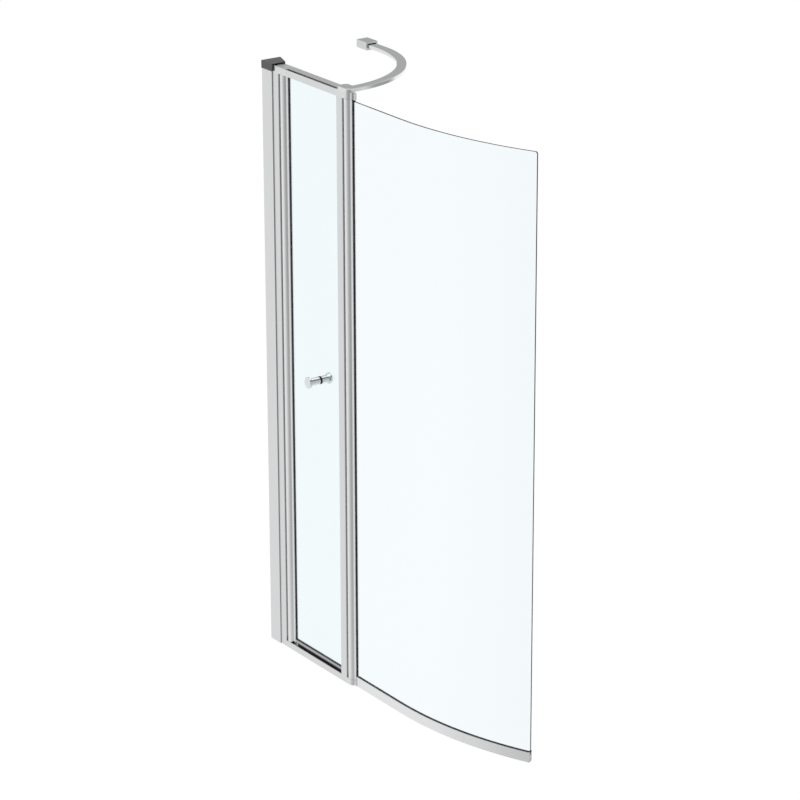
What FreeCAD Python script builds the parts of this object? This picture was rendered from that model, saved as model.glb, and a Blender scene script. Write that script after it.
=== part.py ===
import FreeCAD, Part
import math
import os

from FreeCAD import Vector

# Bath screen with an access door and a pivoting bowed screen.
# X = 0 is the wall and +X runs along the screen, Y = 0 is the front face of the frame
# and +Y points into the bath, Z = 0 is the underside and +Z is up.  Millimetres.

# ---- driving sizes -----------------------------------------------------------------
FRAME_HEIGHT = 1400.0          # underside of the bottom rail to the top of the top rail
FRAME_DEPTH = 29.0             # front to back of the jamb, post and top rail
DOOR_AXIS_X = 73.0             # hinge axis of the access door, from the wall
BOW_AXIS_X = 325.2             # pivot axis of the bowed screen, from the wall
PROFILE_WALL = 1.8             # wall of the jamb, post and top rail extrusions
SLIDE_GAP = 0.3                # play between the wall channel and what slides in it
FIT = 0.2                      # play of a spigot in its profile
EDGE_R = 0.8                   # rounded outer corners of the channel, jamb and post
PAST = 1.0                     # how far a cutting or joining shape passes the face it meets

CHANNEL_REACH = 40.0           # wall channel, from the wall to its mouth
CHANNEL_WALL = 2.0
CHANNEL_BACK_AT_WALL = 46.0    # back of the channel where it meets the wall
CHANNEL_TIP = 1.3              # thickness of the back skin beyond its fin at the mouth
WALL_HOLE_R = 2.75
WALL_HOLE_COUNT = 4
WALL_HOLE_PITCH = 400.0
CAP_SKIRT = 1.4
CAP_THICKNESS = 3.4
CAP_DROP = 14.0                # how far the skirt hangs down over the channel
CAP_OVERHANG = 3.5             # how far the cap passes the channel's mouth
CAP_FIT = 0.1
CAP_BEVEL = 0.5
CAP_LID = 1.0                  # lid over the open space at the channel's mouth
CAP_SEAT = 18.0                # solid part of the lid that rests on the channel
CAP_CORNER_R = 6.0

JAMB_FROM_WALL = 6.0           # hidden edge of the jamb inside the wall channel
POST_WIDTH = 22.4
RAIL_HEIGHT = 15.0
RAIL_LIP = 1.6                 # front lip of the top rail
RAIL_SLOT = 7.4                # open slot behind that lip
UPSTAND = 2.0                  # front upstand of the bottom rail
SILL_THICKNESS = 4.0
SILL_DEPTH = 24.0
BLOCK_PAST_LIP = 0.2           # top corner block, past the edge of the hinge profile
POST_BLOCK_LEAD = 2.4          # top post block, past the post towards the door
SPIGOT_LENGTH = 30.0
RAIL_SPIGOT_LENGTH = 25.0

TUBE_R = 12.0                  # round hinge profile
SEAT_GAP = 2.6                 # room around that round in its hollow seat
SEAT_REACH = 10.4              # hinge axis back to the face of the jamb or post
PIVOT_BORE_R = 6.0
PIN_R = 4.0
PIN_LENGTH = 8.4
PIN_PLAY = 0.05
PLUG_LENGTH = 30.0
BUSH_R = 8.0
BUSH_DEPTH = 8.5
BUSH_FLANGE_R = 9.4
BUSH_FLANGE = 1.5
BUSH_PROUD = 0.2               # flange above the block that it is sunk in
END_PLAY = 0.2                 # hinge profile to bush flange
LIP_REACH = 17.8               # hinge axis to the edge of the glazing lips
LIP_WALL = 1.6
LIP_EDGE_R = 0.6
POCKET_FLOOR = 7.6             # hinge axis to the floor of the glazing pocket
FOOT_CLEARANCE = 0.9           # notch under the tube, outside the fixed knuckle
FOOT_BOTTOM = 7.0              # the glazing lips reach down to here beside the sill
NOTCH_START = 6.0              # hinge axis to the point of the notch under the door's round
NOTCH_RISE = 4.2               # half its height, beside the foot
FOOT_PLUG_INSET = 1.0          # foot plug, in from the edge of the glazing lips
FOOT_PIN_R = 2.5
FOOT_PIN_HEAD = 0.8
FOOT_PIN_SHANK_R = 1.2
FOOT_PIN_LENGTH = 3.0
FOOT_PIN_Z = 11.0

GLASS = 5.0
GASKET = 1.4                   # gasket leg beside the glass
GASKET_BASE = 1.0
GASKET_PROUD = 0.7             # gasket showing past the metal

DOOR_EDGE_GAP = 2.5            # door glass to the post
DOOR_GLASS_TOP_GAP = 3.0       # glass to the underside of the top rail
DOOR_CORNER_R = 3.0
DOOR_RAIL_BOTTOM = 20.0
DOOR_RAIL_HEIGHT = 5.6
DOOR_RAIL_FLOOR = 1.4
WIPER_HEAD = 4.0
WIPER_BOTTOM = 5.6
WIPER_BLADE = 1.6
WIPER_SETBACK = 11.0           # wiper, back from the door's foot
STOP_SEAL_R = 2.3
STOP_SEAL_REACH = 4.6          # stop seal, from the post towards the door
STOP_SEAL_PLAY = 0.3           # closed door glass to the bulb
STOP_SEAL_ROOT_HALF = 1.8
STOP_SEAL_BORE_R = 1.1
STOP_SEAL_LIFT = 1.0           # end of the seal, above the door's bottom rail and gasket

KNOB_X = 199.6
KNOB_Z = 702.0
KNOB_R = 13.0
KNOB_DISC = 4.5
KNOB_BEVEL = 0.8
KNOB_STEM_R = 8.8
KNOB_FRONT_REACH = 31.5        # glass face to the face of the knob outside the bath
KNOB_BACK_REACH = 26.5         # the same on the bath side
KNOB_HOLE_R = 5.0              # hole in the door glass
KNOB_WASHER = 1.4
KNOB_LIP = 0.4                 # washer showing past the knob's stem
STUD_R = 3.0
STUD_BITE = 11.0               # stud length inside each knob

BOW_STRAIGHT = 191.8           # pivot axis to the start of the curve
BOW_RADIUS = 844.0             # curve of the middle of the glass
BOW_TURN = 25.95               # degrees of curve
BOW_GLASS_TOP_GAP = 3.4
BOW_CORNER_R = 5.0
STRIP_START = 19.6             # pivot axis to the bottom strip
STRIP_BOTTOM = 2.0
STRIP_HEIGHT = 23.0
STRIP_POCKET = 7.5
STRIP_CAP = 1.5                # free end cap
STRIP_HEEL = 5.4               # end cap beside the pivot
DRIP_WIDTH = 6.0               # drip seal groove under the strip
DRIP_DEPTH = 7.0
DRIP_BLADE = 1.2
KNUCKLE_TONGUE = 25.0          # pivot axis to the end of the tongue over the glass

BAR_WIDTH = 22.8
BAR_THICKNESS = 8.0
BAR_RADIUS = 246.5
BAR_LEAD = 9.9                 # straight lead from the pivot axis to the bar's curve
BAR_BEVEL = 0.9
PLATE_CORNER_R = 10.0          # rounded corners of the plate on the post
PLATE_INSET = 2.0              # plate edge, in from the edge of the post block
BRACKET_LENGTH = 39.0
BRACKET_WIDTH = 30.8
BRACKET_WALL = 3.8
BRACKET_EDGE_R = 1.5
BRACKET_FLOOR = 5.2            # metal under the bar
BRACKET_BACK = 6.0             # metal between the bar's end and the wall
BRACKET_HOLE_R = 2.5
BRACKET_HOLE_PITCH = 14.0
PAD_THICKNESS = 1.6
PAD_SETBACK = 2.0              # pad, in from the bracket's mouth
GRUB_R = 2.5

SCREW_R = 1.95                 # thread of the small self-tapping screws
SCREW_PLAY = 0.05
SCREW_HEAD_R = 3.5
SCREW_HEAD = 2.2
SCREW_LENGTH = 10.0
SCREW_TIP = 1.0                # empty hole past a screw's tip
SCREW_SUNK = 0.2               # screw head, in from the face it is sunk in
SHANK_SIDES = 8                # small hidden rounds are many-sided
HEAD_SIDES = 12
HEX_SIDES = 6
RING_SIDES = 20
JAMB_SCREW_X = 20.0
ACCESS_HOLE_R = 5.5            # screwdriver hole in the back skin of the channel
ACCESS_SHIFT = 1.5             # that hole, off the screw's axis along the slanted skin
PLUG_CAP_R = 7.0
PLUG_CAP = 1.0
BAR_SCREW_R = 2.0
BAR_SCREW_HEAD_R = 3.6
BAR_SCREW_HEAD = 4.0
BAR_SCREW_EDGE = 0.5           # play between the bar screw's head and the post's wall
BAR_SCREW_BITE = 5.6           # screw hole in the bar's plate
BAR_SCREW_SINK = 5.0           # metal left above the bar screw's head

# ---- places worked out from them ---------------------------------------------------
UP = Vector(0, 0, 1)
INTO_FRAME = Vector(0, -1, 0)  # from the bath side towards the front
INTO_PLUG = Vector(-1, 0, 0)   # from the foot's open side towards the hinge
AXIS_Y = TUBE_R
TOP = FRAME_HEIGHT
RAIL_UNDERSIDE = TOP - RAIL_HEIGHT
MID_Z = FRAME_HEIGHT / 2
POCKET_HALF = GLASS / 2 + GASKET
LIP_HALF = POCKET_HALF + LIP_WALL
SEAT_R = TUBE_R + SEAT_GAP
JAMB_EDGE = DOOR_AXIS_X - SEAT_REACH
POST_EDGE = BOW_AXIS_X - SEAT_REACH
POST_START = POST_EDGE - POST_WIDTH
CHANNEL_FRONT = -(SLIDE_GAP + CHANNEL_WALL)
FIN_FRONT = FRAME_DEPTH + SLIDE_GAP
FIN_BACK = FIN_FRONT + CHANNEL_WALL
CHANNEL_BACK_AT_MOUTH = FIN_BACK + CHANNEL_TIP
SKIN_SLOPE = (CHANNEL_BACK_AT_MOUTH - CHANNEL_BACK_AT_WALL) / CHANNEL_REACH
SKIN_SECANT = math.hypot(1.0, SKIN_SLOPE)
TOP_BLOCK_END = DOOR_AXIS_X + LIP_REACH + BLOCK_PAST_LIP
POST_BLOCK_START = POST_START - POST_BLOCK_LEAD
HINGE_BOTTOM = RAIL_HEIGHT + BUSH_PROUD + END_PLAY
HINGE_TOP = RAIL_UNDERSIDE - BUSH_PROUD - END_PLAY
DOOR_EDGE = POST_START - DOOR_EDGE_GAP
DOOR_RAIL_TOP = DOOR_RAIL_BOTTOM + DOOR_RAIL_HEIGHT
DOOR_GLASS_BOTTOM = DOOR_RAIL_BOTTOM + DOOR_RAIL_FLOOR + GASKET_BASE
DOOR_GLASS_TOP = RAIL_UNDERSIDE - DOOR_GLASS_TOP_GAP
BOW_ARC_X = BOW_AXIS_X + BOW_STRAIGHT
BOW_LENGTH = BOW_STRAIGHT + BOW_RADIUS * math.radians(BOW_TURN)
BOW_GLASS_TOP = RAIL_UNDERSIDE - BOW_GLASS_TOP_GAP
GLASS_ROOM = GLASS / 2 + FIT
STRIP_TOP = STRIP_BOTTOM + STRIP_HEIGHT
BOW_GLASS_BOTTOM = STRIP_TOP - STRIP_POCKET + GASKET_BASE
BAR_TOP = TOP + BAR_THICKNESS
BAR_ARC_X = BOW_AXIS_X - BAR_RADIUS
BAR_ARC_Y = AXIS_Y + BAR_LEAD
BAR_WALL_Y = BAR_ARC_Y + BAR_RADIUS
BRACKET_BOTTOM = TOP - BRACKET_FLOOR
BRACKET_TOP = BAR_TOP + PAD_THICKNESS + BRACKET_WALL
CHAMBER_SPLIT = CHANNEL_REACH - PROFILE_WALL
BAR_SCREW_INSET = PROFILE_WALL + FIT + BAR_SCREW_HEAD_R + BAR_SCREW_EDGE
BAR_SCREW_X = POST_START + BAR_SCREW_INSET
FOOT_X = DOOR_AXIS_X + TUBE_R + FOOT_CLEARANCE
FOOT_PLUG_FACE = DOOR_AXIS_X + LIP_REACH - FOOT_PLUG_INSET


# ---- small building helpers --------------------------------------------------------
def box(x0, y0, z0, x1, y1, z1):
    return Part.makeBox(x1 - x0, y1 - y0, z1 - z0, Vector(x0, y0, z0))


def post_z(x, y, r, z0, z1):
    """Round bar along Z."""
    return Part.makeCylinder(r, z1 - z0, Vector(x, y, z0), Vector(0, 0, 1))


def post_y(x, z, r, y0, y1):
    """Round bar along Y."""
    return Part.makeCylinder(r, y1 - y0, Vector(x, y0, z), Vector(0, 1, 0))


def post_x(y, z, r, x0, x1):
    """Round bar along X."""
    return Part.makeCylinder(r, x1 - x0, Vector(x0, y, z), Vector(1, 0, 0))


def prism(plan, z0, z1):
    """Upright solid on a polygon of X, Y corners."""
    corners = [Vector(x, y, z0) for x, y in plan]
    face = Part.Face(Part.makePolygon(corners + corners[:1]))
    return face.extrude(Vector(0, 0, z1 - z0))


def bar_along_x(section, x0, x1):
    """Extrusion along X of a polygon of Y, Z corners."""
    corners = [Vector(x0, y, z) for y, z in section]
    face = Part.Face(Part.makePolygon(corners + corners[:1]))
    return face.extrude(Vector(x1 - x0, 0, 0))


def rod(base, way, radius, length, sides=SHANK_SIDES):
    """Many-sided rod from a base point, for small screws, plugs and their holes."""
    side = Vector(1, 0, 0) if abs(way.x) < 0.5 else Vector(0, 0, 1)
    side = way.cross(side).normalize()
    other = way.cross(side)
    corners = []
    for i in range(sides):
        turn = 2 * math.pi * (i + 0.5) / sides
        corners.append(base + side * (radius * math.cos(turn)) + other * (radius * math.sin(turn)))
    return Part.Face(Part.makePolygon(corners + corners[:1])).extrude(way * length)


def screw(seat, way, length, shank_r, head_r, head):
    """Pan-head screw driven along a direction, with its head on the seat point."""
    shank = rod(seat, way, shank_r, length)
    return join(shank, rod(seat, way * -1, head_r, head, HEAD_SIDES))


def small_screw(seat, way, length=SCREW_LENGTH):
    return screw(seat, way, length, SCREW_R, SCREW_HEAD_R, SCREW_HEAD)


def screw_hole(seat, way, length, radius=SCREW_R):
    """Hole for a screw's shank that starts a little before its seat."""
    return rod(seat - way * PAST, way, radius + SCREW_PLAY, length + PAST)


def join(*shapes):
    whole = shapes[0].multiFuse(list(shapes[1:])).removeSplitter()
    return whole.Solids[0] if len(whole.Solids) == 1 else whole


def group(shapes):
    return Part.makeCompound(shapes)


def round_edges(shape, radius, wanted):
    """Fillet the edges whose middle point the test picks."""
    edges = []
    for edge in shape.Edges:
        middle = edge.valueAt((edge.FirstParameter + edge.LastParameter) / 2)
        if wanted(middle, edge):
            edges.append(edge)
    return shape.makeFillet(radius, edges)


def upright(edge):
    a, b = edge.Vertexes[0].Point, edge.Vertexes[-1].Point
    return abs(a.x - b.x) < 1e-6 and abs(a.y - b.y) < 1e-6 and abs(a.z - b.z) > 1e-6


def near(a, b):
    return abs(a - b) < 1e-4


def save(name, shape):
    shape.exportStep("parts/" + name + ".step")


# ---- wall channel, its cap and its screws ------------------------------------------
def skin_y(x, inset=0.0):
    """Back of the channel's slanted skin at x, or that face moved inwards."""
    return CHANNEL_BACK_AT_WALL + SKIN_SLOPE * x - inset * SKIN_SECANT


def screw_heights():
    """Heights of the screws that hold the jamb in the channel, between the wall holes."""
    return [MID_Z + WALL_HOLE_PITCH * step for step in (-1.0, 0.0, 1.0)]


def wall_hole_heights():
    first = MID_Z - WALL_HOLE_PITCH * (WALL_HOLE_COUNT - 1) / 2
    return [first + WALL_HOLE_PITCH * i for i in range(WALL_HOLE_COUNT)]


def skin_frame(x):
    """A point on the back skin and the outward normal there."""
    normal = Vector(-SKIN_SLOPE, 1.0, 0.0)
    normal.normalize()
    return Vector(x, skin_y(x), 0.0), normal


def wall_channel():
    body = prism([(0, CHANNEL_FRONT), (CHANNEL_REACH, CHANNEL_FRONT),
                  (CHANNEL_REACH, CHANNEL_BACK_AT_MOUTH), (0, CHANNEL_BACK_AT_WALL)], 0, TOP)
    body = round_edges(body, EDGE_R, lambda p, e: upright(e) and not near(p.x, 0))
    throat = box(CHANNEL_WALL, -SLIDE_GAP, -PAST, CHANNEL_REACH + PAST, FIN_FRONT, TOP + PAST)
    apex = (skin_y(0, CHANNEL_WALL) - FIN_BACK) / -SKIN_SLOPE
    chamber = prism([(CHANNEL_WALL, FIN_BACK), (apex, FIN_BACK),
                     (CHANNEL_WALL, skin_y(CHANNEL_WALL, CHANNEL_WALL))], -PAST, TOP + PAST)
    body = body.cut(throat).cut(chamber)
    holes = [post_x(FRAME_DEPTH / 2, z, WALL_HOLE_R, -PAST, CHANNEL_WALL + PAST)
             for z in wall_hole_heights()]
    at, normal = skin_frame(JAMB_SCREW_X + ACCESS_SHIFT)
    for z in screw_heights():
        start = Vector(at.x, at.y, z) - normal * (CHANNEL_WALL * 2)
        holes.append(rod(start, normal, ACCESS_HOLE_R, CHANNEL_WALL * 3, HEAD_SIDES))
        holes.append(screw_hole(Vector(JAMB_SCREW_X, FIN_BACK, z), INTO_FRAME, CHANNEL_WALL + PAST))
    for hole in holes:
        body = body.cut(hole)
    return body


def channel_top_cap():
    """Plastic cap: a lid, hollow at its open end, with a skirt in front and on the back."""
    right = CHANNEL_REACH + CAP_OVERHANG
    front = CHANNEL_FRONT - CAP_FIT - CAP_SKIRT
    bottom = TOP - CAP_DROP
    lid = prism([(0, front), (right, front), (right, skin_y(right, -CAP_FIT - CAP_SKIRT)),
                 (0, skin_y(0, -CAP_FIT - CAP_SKIRT))], bottom, TOP + CAP_THICKNESS)
    lid = round_edges(lid, CAP_CORNER_R, lambda p, e: upright(e) and near(p.x, right) and p.y > AXIS_Y)
    rim = [e for e in lid.Edges if all(near(v.Point.z, TOP + CAP_THICKNESS) for v in e.Vertexes)]
    rim = [e for e in rim if any(not near(v.Point.x, 0) for v in e.Vertexes)]
    lid = lid.makeChamfer(CAP_BEVEL, rim)
    for start, ceiling in ((-PAST, TOP), (CAP_SEAT, TOP + CAP_THICKNESS - CAP_LID)):
        inside = prism([(start, CHANNEL_FRONT - CAP_FIT), (right + PAST, CHANNEL_FRONT - CAP_FIT),
                        (right + PAST, skin_y(right + PAST, -CAP_FIT)),
                        (start, skin_y(start, -CAP_FIT))], bottom - PAST, ceiling)
        lid = lid.cut(inside)
    return lid


def jamb_screws():
    return group([small_screw(Vector(JAMB_SCREW_X, FIN_BACK, z), INTO_FRAME)
                  for z in screw_heights()])


def screw_covers():
    """Snap-in covers for the screwdriver holes in the channel's back skin."""
    at, normal = skin_frame(JAMB_SCREW_X + ACCESS_SHIFT)
    covers = []
    for z in screw_heights():
        face = Vector(at.x, at.y, z)
        cap = rod(face, normal, PLUG_CAP_R, PLUG_CAP, RING_SIDES)
        stem = rod(face - normal * (CHANNEL_WALL + PAST), normal, ACCESS_HOLE_R - PIN_PLAY,
                   CHANNEL_WALL + PAST, HEAD_SIDES)
        covers.append(join(cap, stem))
    return group(covers)


# ---- jamb, post, rails -------------------------------------------------------------
def seated_profile(x0, x1, axis_x, splits):
    """Box extrusion with a hollow seat for the hinge round on its +X side."""
    low, high = RAIL_HEIGHT, RAIL_UNDERSIDE
    body = box(x0, 0, low, x1, FRAME_DEPTH, high)
    body = round_edges(body, EDGE_R, lambda p, e: upright(e))
    body = body.cut(post_z(axis_x, AXIS_Y, SEAT_R, low - PAST, high + PAST))
    edges = [x0] + splits + [x1]
    for left, right in zip(edges[:-1], edges[1:]):
        start = left + (PROFILE_WALL if left == x0 else PROFILE_WALL / 2)
        stop = right - (PROFILE_WALL if right == x1 else PROFILE_WALL / 2)
        hollow = box(start, PROFILE_WALL, low - PAST, stop, FRAME_DEPTH - PROFILE_WALL, high + PAST)
        hollow = hollow.cut(post_z(axis_x, AXIS_Y, SEAT_R + PROFILE_WALL, low - PAST * 2, high + PAST * 2))
        body = body.cut(hollow)
    return body


def drilled_back(body, places):
    """Screw holes through the wall on the bath side."""
    for x, z in places:
        body = body.cut(screw_hole(Vector(x, FRAME_DEPTH, z), INTO_FRAME, PROFILE_WALL + PAST))
    return body


def jamb_profile():
    body = seated_profile(JAMB_FROM_WALL, JAMB_EDGE, DOOR_AXIS_X, [CHAMBER_SPLIT])
    places = [(JAMB_SCREW_X, z) for z in screw_heights()]
    places += [(spigot_screw_x(jamb_spigot()), z) for z in spigot_screw_heights()]
    return drilled_back(body, places)


def centre_post():
    body = seated_profile(POST_START, POST_EDGE, BOW_AXIS_X, [])
    screw_x = spigot_screw_x(post_spigot())
    return drilled_back(body, [(screw_x, z) for z in spigot_screw_heights()])


def rail_box():
    """Y and Z limits of the hollow back box of the top rail."""
    return (RAIL_LIP + RAIL_SLOT + RAIL_LIP, FRAME_DEPTH - PROFILE_WALL,
            RAIL_UNDERSIDE + PROFILE_WALL, TOP - PROFILE_WALL)


def rail_screw_places():
    y0, y1, z0, z1 = rail_box()
    middle = (z0 + z1) / 2
    return [(TOP_BLOCK_END + RAIL_SPIGOT_LENGTH / 2, middle),
            (POST_BLOCK_START - RAIL_SPIGOT_LENGTH / 2, middle)]


def top_rail():
    x0, x1 = TOP_BLOCK_END, POST_BLOCK_START
    body = box(x0, 0, RAIL_UNDERSIDE, x1, FRAME_DEPTH, TOP)
    body = body.cut(box(x0 - PAST, RAIL_LIP, RAIL_UNDERSIDE + PROFILE_WALL, x1 + PAST,
                        RAIL_LIP + RAIL_SLOT, TOP + PAST))
    y0, y1, z0, z1 = rail_box()
    body = body.cut(box(x0 - PAST, y0, z0, x1 + PAST, y1, z1))
    return drilled_back(body, rail_screw_places())


def base_screw_places():
    middle = SILL_DEPTH / 2
    step = SCREW_HEAD_R * 3
    wall_x = CHANNEL_REACH + step / 2
    post_x_mid = (POST_START + POST_EDGE) / 2
    return [(wall_x - step, middle), (wall_x + step, middle),
            (post_x_mid, middle - step / 2), (post_x_mid, middle + step / 2)]


def base_screw_seat(x, y):
    return Vector(x, y, SCREW_SUNK + SCREW_HEAD)


def sill():
    """Sill section: a thin upstand in front and a flat ledge behind it."""
    section = [(0, 0), (SILL_DEPTH, 0), (SILL_DEPTH, SILL_THICKNESS),
               (UPSTAND, SILL_THICKNESS), (UPSTAND, RAIL_HEIGHT), (0, RAIL_HEIGHT)]
    return bar_along_x(section, JAMB_FROM_WALL, POST_EDGE)


def bottom_rail():
    body = sill()
    for x, y in base_screw_places():
        seat = base_screw_seat(x, y)
        body = body.cut(screw_hole(seat, UP, RAIL_HEIGHT))
        body = body.cut(rod(seat, UP * -1, SCREW_HEAD_R + SCREW_PLAY, seat.z + PAST, HEAD_SIDES))
    return body


def base_screws():
    return group([small_screw(base_screw_seat(x, y), UP) for x, y in base_screw_places()])


# ---- corner blocks with the fixed knuckles -----------------------------------------
def jamb_spigot():
    """X limits of the spigots that fit the jamb's outer chamber."""
    return (CHAMBER_SPLIT + PROFILE_WALL / 2 + FIT,
            DOOR_AXIS_X - SEAT_R - PROFILE_WALL - FIT)


def post_spigot():
    return POST_START + PROFILE_WALL + FIT, BOW_AXIS_X - SEAT_R - PROFILE_WALL - FIT


def spigot(limits, z0, z1):
    inset = PROFILE_WALL + FIT
    return box(limits[0], inset, z0, limits[1], FRAME_DEPTH - inset, z1)


def rail_spigot(x0, x1):
    y0, y1, z0, z1 = rail_box()
    return box(x0, y0 + FIT, z0 + FIT, x1, y1 - FIT, z1 - FIT)


def spigot_screw_x(limits):
    return limits[1] - SCREW_HEAD_R


def spigot_screw_heights():
    reach = SPIGOT_LENGTH / 2
    return RAIL_HEIGHT + reach, RAIL_UNDERSIDE - reach


def screw_bore(x, z):
    return screw_hole(Vector(x, FRAME_DEPTH, z), INTO_FRAME, SCREW_LENGTH + SCREW_TIP)


def bush_bore(axis_x, mouth, way):
    """Blind bore for a pivot bush, with a wider seat for its flange; way is down or up."""
    at = Vector(axis_x, AXIS_Y, mouth)
    bore = rod(at, UP * way, BUSH_R + SCREW_PLAY, BUSH_DEPTH, HEAD_SIDES)
    seat = rod(at, UP * way, BUSH_FLANGE_R + SCREW_PLAY, BUSH_FLANGE - BUSH_PROUD, HEAD_SIDES)
    return join(bore, seat)


def knuckle(axis_x, edge, z0, z1, lip_reach):
    """Round nose that carries on the hinge profile above or below it."""
    nose = post_z(axis_x, AXIS_Y, TUBE_R, z0, z1)
    root = box(edge, 0, z0, axis_x, 2 * AXIS_Y, z1)
    lips = box(axis_x, AXIS_Y - LIP_HALF, z0, axis_x + lip_reach, AXIS_Y + LIP_HALF, z1)
    return join(nose, root, lips)


def top_wall_block():
    low = RAIL_UNDERSIDE
    body = join(box(JAMB_FROM_WALL, 0, low, TOP_BLOCK_END, FRAME_DEPTH, TOP),
                spigot(jamb_spigot(), low - SPIGOT_LENGTH, low + PAST),
                rail_spigot(TOP_BLOCK_END - PAST, TOP_BLOCK_END + RAIL_SPIGOT_LENGTH))
    body = body.cut(bush_bore(DOOR_AXIS_X, low, 1))
    body = body.cut(screw_bore(spigot_screw_x(jamb_spigot()), spigot_screw_heights()[1]))
    return body.cut(screw_bore(*rail_screw_places()[0]))


def foot_notch():
    """Pointed notch where the door's round meets its fixed knuckle, open towards the foot."""
    start = Vector(DOOR_AXIS_X + NOTCH_START, AXIS_Y - TUBE_R - PAST, HINGE_BOTTOM)
    stop = DOOR_AXIS_X + TUBE_R - start.x
    corners = [start, start + Vector(stop, 0, NOTCH_RISE), start + Vector(stop, 0, -NOTCH_RISE)]
    face = Part.Face(Part.makePolygon(corners + corners[:1]))
    return face.extrude(Vector(0, TUBE_R + PAST - LIP_HALF, 0))


def bottom_wall_block():
    """Sits on the sill behind the upstand and ends in the door's lower knuckle."""
    low, high = SILL_THICKNESS, RAIL_HEIGHT
    knuckle_body = join(post_z(DOOR_AXIS_X, AXIS_Y, TUBE_R, low, high),
                        box(JAMB_EDGE - PAST, 0, low, DOOR_AXIS_X, 2 * AXIS_Y, high))
    body = join(box(JAMB_FROM_WALL, 0, low, JAMB_EDGE, FRAME_DEPTH, high), knuckle_body,
                spigot(jamb_spigot(), high - PAST, high + SPIGOT_LENGTH))
    body = body.cut(box(JAMB_FROM_WALL - PAST, -PAST, low - PAST, DOOR_AXIS_X + TUBE_R + PAST,
                        UPSTAND, high))
    body = body.cut(bush_bore(DOOR_AXIS_X, high, -1)).cut(foot_notch())
    body = body.cut(screw_bore(spigot_screw_x(jamb_spigot()), spigot_screw_heights()[0]))
    for x, y in base_screw_places()[:2]:
        body = body.cut(screw_hole(base_screw_seat(x, y), UP, SCREW_LENGTH + SCREW_PLAY))
    return body


def bottom_post_block():
    low, high = 0.0, RAIL_HEIGHT
    body = join(box(POST_START, UPSTAND, SILL_THICKNESS, POST_EDGE + PAST, FRAME_DEPTH, high),
                knuckle(BOW_AXIS_X, POST_EDGE, low, high, LIP_REACH),
                spigot(post_spigot(), high - PAST, high + SPIGOT_LENGTH))
    body = body.cut(sill()).cut(bush_bore(BOW_AXIS_X, high, -1))
    body = body.cut(screw_bore(spigot_screw_x(post_spigot()), spigot_screw_heights()[0]))
    for x, y in base_screw_places()[2:]:
        body = body.cut(screw_hole(base_screw_seat(x, y), UP, SCREW_LENGTH + SCREW_PLAY))
    return body


def bar_screw_places():
    return [(BAR_SCREW_X, BAR_SCREW_INSET), (BAR_SCREW_X, FRAME_DEPTH - BAR_SCREW_INSET)]


def top_post_block():
    """Carries the rail, the post, the upper bush and, on its flat top, the bar's plate."""
    low = RAIL_UNDERSIDE
    tongue = box(BOW_AXIS_X, AXIS_Y - GLASS / 2, low, BOW_AXIS_X + KNUCKLE_TONGUE,
                 AXIS_Y + GLASS / 2, TOP)
    body = join(box(POST_BLOCK_START, 0, low, POST_EDGE, FRAME_DEPTH, TOP),
                knuckle(BOW_AXIS_X, POST_EDGE - PAST, low, TOP, LIP_REACH), tongue,
                spigot(post_spigot(), low - SPIGOT_LENGTH, low + PAST),
                rail_spigot(POST_BLOCK_START - RAIL_SPIGOT_LENGTH, POST_BLOCK_START + PAST))
    body = body.cut(bush_bore(BOW_AXIS_X, low, 1))
    body = body.cut(screw_bore(spigot_screw_x(post_spigot()), spigot_screw_heights()[1]))
    body = body.cut(screw_bore(*rail_screw_places()[1]))
    for x, y in bar_screw_places():
        seat = Vector(x, y, TOP - BAR_SCREW_SINK)
        body = body.cut(screw_hole(seat, UP, BAR_SCREW_SINK + PAST, BAR_SCREW_R))
        body = body.cut(rod(seat, UP * -1, BAR_SCREW_HEAD_R + FIT, SPIGOT_LENGTH + RAIL_HEIGHT,
                            HEAD_SIDES))
    return body


def corner_screws():
    """Self-tapping screws through the bath side into the blocks' spigots."""
    places = [(spigot_screw_x(limits), z) for limits in (jamb_spigot(), post_spigot())
              for z in spigot_screw_heights()]
    places += rail_screw_places()
    return group([small_screw(Vector(x, FRAME_DEPTH, z), INTO_FRAME) for x, z in places])


def pivot_bushes():
    """Flanged bearings in the four blocks, one above and one below each hinge profile."""
    bushes = []
    for axis_x in (DOOR_AXIS_X, BOW_AXIS_X):
        for mouth, way in ((RAIL_HEIGHT, 1), (RAIL_UNDERSIDE, -1)):
            into = UP * -way
            at = Vector(axis_x, AXIS_Y, mouth)
            body = join(rod(at, into, BUSH_R, BUSH_DEPTH, HEAD_SIDES),
                        rod(at - into * BUSH_PROUD, into, BUSH_FLANGE_R, BUSH_FLANGE, HEAD_SIDES))
            bushes.append(body.cut(post_z(axis_x, AXIS_Y, PIN_R + PIN_PLAY, mouth - BUSH_DEPTH - PAST,
                                          mouth + BUSH_DEPTH + PAST)))
    return group(bushes)


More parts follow.
